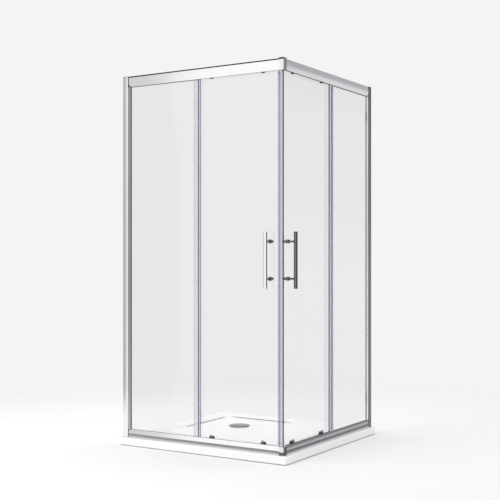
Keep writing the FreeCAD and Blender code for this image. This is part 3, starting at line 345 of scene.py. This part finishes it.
def clear_vinyl(name, axis, density, zones=()):
    """Co-extruded PVC: nearly clear with a lilac cast, and denser where dark reflections are painted in.

    density is the milky share of each wall; zones lists low and high, in millimetres across the seal, and
    the denser milky share between them, which paints in the dark lines that the seal's grooves reflect."""
    material, tree, output = new_material("clear_vinyl_" + name)
    streaks = noise(tree, STREAKS_PER_METRE, detail=1.0)
    milky = add(tree, "ShaderNodeBsdfPrincipled", {
        "Base Color": over(tree, streaks, linear("#86869a"), linear("#9696aa")),
        "Roughness": spread(tree, streaks, *STREAK_ROUGH), "IOR": 1.53})
    clear = add(tree, "ShaderNodeBsdfTransparent", {"Color": linear("#fdfcff")})
    # denser milky strips: painted dark reflections of the seal's grooves
    for low, high, denser in zones:
        density = add(tree, "ShaderNodeMix", {
            0: band(tree, axis, low, high), 2: density, 3: denser}).outputs[0]
    mixed = add(tree, "ShaderNodeMixShader", {0: density, 1: clear.outputs[0], 2: milky.outputs[0]})
    tree.links.new(mixed.outputs[0], output.inputs[0])
    return material


# The finishes of this enclosure. The tones of its metals, and their bands, skirts and flanks, are painted
# reflections, set by piece and side: each stands for what that face mirrors, and not for a metal of
# another colour; the skirts and the foot band are painted shade as well.

# painted reflections: the near-white tones of the front header, rail and handle, and the dark ones of the
# right channel
WHITE_PAINTED_REFLECTION = ("#fafafb", "#ffffff")
DARK_PAINTED_REFLECTION = ("#6a6b6e", "#747578")
PLATED_ABS = ("#ebecee", "#f3f4f6", (0.05, 0.10))
# painted dark reflections: a band along the front header's top edge and the top block's top, and a greyer
# tone on the top block's right face; a band of painted shade and reflection low on the foot block
HEADER_TOP_PAINTED_REFLECTION = (1919.5, 1930, "#4c4d4f")
BLOCK_TOP_PAINTED_REFLECTION = (1921, 1932, "#2c2d2f")
BLOCK_RIGHT_PAINTED_REFLECTION = (OUT["right"], "#b8b9bc", 0.90, 0.97)
BLOCK_FOOT_PAINTED_SHADE = (39, 56, "#6a6b6e")
CHANNEL_MIDDLE = -482 * MM
CHANNEL_RISE = 1.4

header_metal = {
    "front": polished_aluminium(
        "header_front", "x", *WHITE_PAINTED_REFLECTION, polished=[OUT["front"]], bands=[HEADER_TOP_PAINTED_REFLECTION]),
    "right": polished_aluminium("header_right", "y", polished=[OUT["right"]])}
# the skirt tones are the painted shade at the top of each rail's lower band; the right rail's darker tones
# are painted reflections
rail_metal = {
    "front": polished_aluminium(
        "rail_front", "x", *WHITE_PAINTED_REFLECTION, skirt="#97989b", polished=[OUT["front"], UP]),
    "right": polished_aluminium(
        "rail_right", "y", "#a2a3a6", "#b0b1b3", skirt="#6e6f72", polished=[OUT["right"], UP])}
# the right channel's dark tones are a painted reflection
channel_metal = {
    "front": polished_aluminium("channel_front", "z", crown=(CHANNEL_MIDDLE, CHANNEL_RISE)),
    "right": polished_aluminium("channel_right", "z", *DARK_PAINTED_REFLECTION)}
# the front jamb's greyer tones are a painted reflection
jamb_metal = {
    "front": polished_aluminium("jamb_front", "z", "#aaabad", "#b6b7b9"),
    "right": polished_aluminium("jamb_right", "z")}
# the right handle's dark tones are a painted reflection
handle_chrome = {
    "front": chrome("chrome_handle_front", *WHITE_PAINTED_REFLECTION),
    "right": chrome("chrome_handle_right", "#707176", "#7c7d82")}
dark_chrome = chrome("chrome_fittings", "#6a6b6e", "#808184")
# plated ABS blocks: a mirror on the faces that look the plated ways, and on the others a dark satin
# plastic that paints in shade and dark reflections
plated_top = chrome(
    "chrome_plated_abs", *PLATED_ABS, plated=[OUT["front"], OUT["right"]],
    bands=[BLOCK_TOP_PAINTED_REFLECTION], flanks=[BLOCK_RIGHT_PAINTED_REFLECTION])
plated_foot = chrome(
    "chrome_plated_abs_foot", *PLATED_ABS, plated=[OUT["front"], UP], bands=[BLOCK_FOOT_PAINTED_SHADE])
# satin nickel plate and plain stainless steel: broad soft highlights instead of a mirror
satin_nickel = chrome("satin_nickel_cover", "#606063", "#707174", (0.22, 0.32))
stainless = chrome("stainless_steel", "#b4b5b7", "#c4c5c7", (0.18, 0.30))
# moulded nylon, ABS and acetal: satin, the acetal slightly glossier
black_nylon = moulded_plastic("black_nylon", "#1c1c1e", "#262628", 0.42)
grey_abs = moulded_plastic("grey_abs", "#55575a", "#606265", 0.40)
dark_abs = moulded_plastic("dark_grey_abs", "#5a5b5d", "#666769", 0.38)
white_acetal = moulded_plastic("white_acetal", "#e6e6e2", "#eeeeea", 0.32)
# moulded rubber: matt, with hardly a highlight
black_rubber = moulded_plastic("black_rubber", "#26262a", "#303034", 0.62, ior=1.52)
grey_gasket = moulded_plastic("grey_rubber_gasket", "#8d8e92", "#9a9b9f", 0.55, ior=1.52)
magnet_rubber = moulded_plastic("magnet_rubber", "#ececf6", "#f4f4fc", 0.5, ior=1.52)
gelcoat = tray_gelcoat()
glass = toughened_glass()
# the seals' denser zones are painted dark reflections of their grooves
vinyl = {
    "fixed_edge_seal_front": clear_vinyl("fixed_front", "X", 0.015, [(-28, -21, 0.60)]),
    "front_trailing_seal": clear_vinyl("trailing_front", "X", 0.012),
    "front_magnetic_seal": clear_vinyl("magnetic_front", "X", 0.02, [(425, 436, 0.14), (436, 444, 0.55)]),
    "fixed_edge_seal_right": clear_vinyl("fixed_right", "Y", 0.01),
    "right_trailing_seal": clear_vinyl("trailing_right", "Y", 0.02, [(53, 62, 0.60)]),
    "right_magnetic_seal": clear_vinyl("magnetic_right", "Y", 0.02, [(-451.5, -447.5, 0.45)])}


def put(material, *names):
    """Give CAD nodes one material in every slot."""
    for name in names:
        mesh = cad_nodes[name].data
        if not mesh.materials:
            mesh.materials.append(material)
        for number in range(len(mesh.materials)):
            mesh.materials[number] = material


def on_sides(*patterns):
    """Node names with the side filled in, and the letter where one is asked for."""
    filled = [pattern.format(side=side, letter=letter)
              for pattern in patterns for side in SIDES for letter in LETTERS]
    return list(dict.fromkeys(filled))


for side in SIDES:
    put(header_metal[side], f"header_{side}")
    put(rail_metal[side], f"bottom_rail_{side}")
    put(channel_metal[side], f"wall_channel_{side}")
    put(jamb_metal[side], f"jamb_{side}")
    put(handle_chrome[side], f"{side}_handle_bar")
for seal, material in vinyl.items():
    put(material, seal)
put(gelcoat, "shower_tray")
put(plated_top, "corner_block_top")
put(plated_foot, "corner_block_bottom")
put(dark_chrome, *on_sides("{side}_handle_posts", "{side}_handle_cap_nuts", "{side}_top_bolts"))
put(satin_nickel, "waste_cover")
put(stainless, "frame_screws", *on_sides("{side}_sled_spring_{letter}"))
put(black_nylon, "frame_end_caps", *on_sides("{side}_top_brackets", "{side}_lower_housings"))
put(dark_abs, *on_sides("{side}_lower_knobs"))
put(grey_abs, "waste_body")
put(white_acetal, *on_sides(
    "{side}_lower_sled_{letter}", "{side}_top_wheel_{letter}", "{side}_lower_wheel_{letter}"))
put(black_rubber, "door_stops", "waste_gasket")
put(grey_gasket, "glazing_gaskets")
put(magnet_rubber, *on_sides("{side}_magnet_strip"))


# Glass panes with their polished edges

GROUND_EDGE_WIDTH = 0.8 * MM
GROUND_EDGE_ANGLE = math.radians(40)
WELD_DISTANCE = 0.02 * MM
FLAT_ANGLE = math.radians(0.5)


def pane_with_polished_edge(name, node, body):
    """A copy of a CAD pane with its edges and holes ground to a narrow bright chamfer."""
    mesh = cad_nodes[node].data.copy()
    mesh.name = name
    shape = bmesh.new()
    shape.from_mesh(mesh)
    bmesh.ops.remove_doubles(shape, verts=shape.verts, dist=WELD_DISTANCE)
    bmesh.ops.dissolve_limit(shape, angle_limit=FLAT_ANGLE, verts=shape.verts, edges=shape.edges)
    shape.to_mesh(mesh)
    shape.free()
    mesh.materials.clear()
    mesh.materials.append(glass)
    pane = bpy.data.objects.new(name, mesh)
    bpy.context.scene.collection.objects.link(pane)
    edge = pane.modifiers.new("ground_edge", "BEVEL")
    edge.width = GROUND_EDGE_WIDTH
    edge.segments = 2
    edge.limit_method = "ANGLE"
    edge.angle_limit = GROUND_EDGE_ANGLE
    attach(pane, body)
    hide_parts(node)


for side in SIDES:
    pane_with_polished_edge(f"{side}_fixed_pane", f"fixed_glass_{side}", "frame")
    pane_with_polished_edge(f"{side}_door_pane", f"{side}_door_glass", f"{side}_door")


# Coil springs copied from the CAD nodes, each carried by its door


def coil_spring(side, letter):
    """A copy of a CAD spring that its sled presses up against the housing's ceiling."""
    node = f"{side}_sled_spring_{letter}"
    coil = bpy.data.objects.new(f"{side}_coil_{letter}", cad_nodes[node].data.copy())
    bpy.context.scene.collection.objects.link(coil)
    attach(coil, f"{side}_door")
    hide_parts(node)
    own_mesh(coil)


for side in SIDES:
    for letter in LETTERS:
        coil_spring(side, letter)


# Studio

FLOOR_REACH = 3.2
FLOOR_FADE = (1.2, 3.0)
FLOOR_HEIGHT = -0.2 * MM


def studio_floor():
    """A plain pale floor that thins out into the white of the background."""
    material, tree, output = new_material("studio_floor")
    away = add(tree, "ShaderNodeVectorMath", {0: own_place(tree)}, operation="LENGTH").outputs["Value"]
    paint = add(tree, "ShaderNodeBsdfDiffuse", {"Color": linear("#e9e9e9")})
    open_air = add(tree, "ShaderNodeBsdfTransparent")
    mixed = add(tree, "ShaderNodeMixShader", {
        0: ramp(tree, away, *FLOOR_FADE), 1: paint.outputs[0], 2: open_air.outputs[0]})
    tree.links.new(mixed.outputs[0], output.inputs[0])
    mesh = bpy.data.meshes.new("studio_floor")
    corners = [(x * FLOOR_REACH, y * FLOOR_REACH, FLOOR_HEIGHT)
               for x, y in ((-1, -1), (1, -1), (1, 1), (-1, 1))]
    mesh.from_pydata(corners, [], [(0, 1, 2, 3)])
    mesh.materials.append(material)
    floor = bpy.data.objects.new("studio_floor", mesh)
    bpy.context.scene.collection.objects.link(floor)


# A screen or card that mirrors see: its middle, and the degrees from it where it is full and where it ends
BACK_SCREEN = ((0.5, 0.866, 0.1), 15, 24)
GREY_CARD = ((0.891, 0.454, 0.0), 17, 20)
DARK_STRIP = ((0.985, 0.17, 0.0), 30, 34)
LEFT_CARD = ((-1.0, 0.02, 0.0), 14, 26)
# The back screen's tones: the degrees over the horizon between which each takes over from the last
BACK_SCREEN_STEPS = ((-1, 4, "#e2e2e4"), (7, 12, "#b2b3b5"))
# The dark strip's soft edges, in degrees over the horizon
STRIP_FOOT = (-6, -4)
STRIP_TOP = (4, 6)
# The left screen's tones: the X of the directions between which each takes over from the last
LEFT_SCREEN_STEPS = ((-0.582, -0.592, "#cecece"), (-0.625, -0.690, "#929294"), (-0.780, -0.860, "#ffffff"))
FIRST_BOUNCE = 0.5
WORLD_LIGHT = 0.80


def seen_directly(tree):
    """1 for a ray from the camera, or one that metal or glass sends on."""
    ray = add(tree, "ShaderNodeLightPath")
    first = add(tree, "ShaderNodeMath", {
        0: ray.outputs["Is Camera Ray"], 1: ray.outputs["Is Glossy Ray"]}, operation="MAXIMUM")
    return add(tree, "ShaderNodeMath", {
        0: first.outputs[0], 1: ray.outputs["Is Transmission Ray"]}, operation="MAXIMUM").outputs[0]


def toward(tree, way, centre, inner, outer):
    """1 within inner degrees of centre, softly down to 0 at outer degrees."""
    share = add(tree, "ShaderNodeVectorMath", {
        0: way, 1: Vector(centre).normalized()}, operation="DOT_PRODUCT").outputs["Value"]
    return ramp(tree, share, math.cos(math.radians(outer)), math.cos(math.radians(inner)))


def above(tree, height, low, high):
    """0 below low degrees over the horizon, softly up to 1 at high degrees."""
    return ramp(tree, height, math.sin(math.radians(low)), math.sin(math.radians(high)))


def studio_world():
    """Pale surroundings. Mirrors see white ones with a grey screen and a grey card to the left, a banded
    screen at the back right, and a grey card and a low dark strip to the right."""
    world = bpy.data.worlds.new("studio")
    bpy.context.scene.world = world
    world.use_nodes = True
    tree = world.node_tree
    tree.nodes.clear()
    output = add(tree, "ShaderNodeOutputWorld")
    way = add(tree, "ShaderNodeTexCoord").outputs["Generated"]
    parts = add(tree, "ShaderNodeSeparateXYZ", {0: way})
    height, across = parts.outputs["Z"], parts.outputs["X"]
    back = linear("#f4f4f4")
    for low, high, tone in BACK_SCREEN_STEPS:
        back = over(tree, above(tree, height, low, high), back, linear(tone))
    colour = linear("#ffffff")
    for start, end, tone in LEFT_SCREEN_STEPS:
        colour = over(tree, ramp(tree, across, start, end), colour, linear(tone))
    colour = over(tree, toward(tree, way, *BACK_SCREEN), colour, back)
    colour = over(tree, toward(tree, way, *GREY_CARD), colour, linear("#77787a"))
    # the strip lies level with the photograph's camera, where the handles mirror it and the header doesn't
    strip = over(tree, above(tree, height, *STRIP_FOOT), colour, linear("#141416"))
    strip = over(tree, above(tree, height, *STRIP_TOP), strip, colour)
    colour = over(tree, toward(tree, way, *DARK_STRIP), colour, strip)
    colour = over(tree, toward(tree, way, *LEFT_CARD), colour, linear("#a4a5a8"))
    bounces = add(tree, "ShaderNodeLightPath").outputs["Glossy Depth"]
    mirrored = add(tree, "ShaderNodeMath", {0: bounces, 1: FIRST_BOUNCE}, operation="GREATER_THAN")
    colour = over(tree, mirrored.outputs[0], linear("#f4f4f4"), colour)
    seen = add(tree, "ShaderNodeBackground", {"Color": colour, "Strength": 1.0})
    light = add(tree, "ShaderNodeBackground", {"Color": linear("#ffffff"), "Strength": WORLD_LIGHT})
    mixed = add(tree, "ShaderNodeMixShader", {
        0: seen_directly(tree), 1: light.outputs[0], 2: seen.outputs[0]})
    tree.links.new(mixed.outputs[0], output.inputs[0])


def soft_lamp(name, place, aim, size, power):
    """A square soft lamp that points at aim; mirrors see the screens instead of it."""
    lamp = bpy.data.lights.new(name, "AREA")
    lamp.shape = "SQUARE"
    lamp.size = size
    lamp.energy = power
    holder = bpy.data.objects.new(name, lamp)
    holder.location = place
    holder.rotation_euler = (Vector(aim) - Vector(place)).to_track_quat("-Z", "Y").to_euler()
    holder.visible_glossy = False
    holder.visible_transmission = False
    bpy.context.scene.collection.objects.link(holder)


def photograph_camera():
    """The camera fitted to the corners of the tray and the header."""
    level = math.radians(90)
    turn = math.radians(31.957)
    lens = bpy.data.cameras.new("camera")
    lens.sensor_width = 36.0
    lens.lens = 71.44
    lens.shift_y = 0.01536
    lens.clip_end = 100.0
    camera = bpy.data.objects.new("camera", lens)
    camera.location = (2.8267, -4.5458, 0.9788)
    camera.rotation_euler = (level, 0, turn)
    bpy.context.scene.collection.objects.link(camera)
    bpy.context.scene.camera = camera


studio_floor()
studio_world()
soft_lamp("key_lamp", place=(-1.6, -3.6, 3.6), aim=(0, 0, 0.9), size=2.4, power=92.0)
soft_lamp("top_lamp", place=(0.4, 0.6, 4.4), aim=(0, 0, 0), size=2.6, power=60.0)
photograph_camera()
bpy.context.scene.view_settings.view_transform = "Standard"
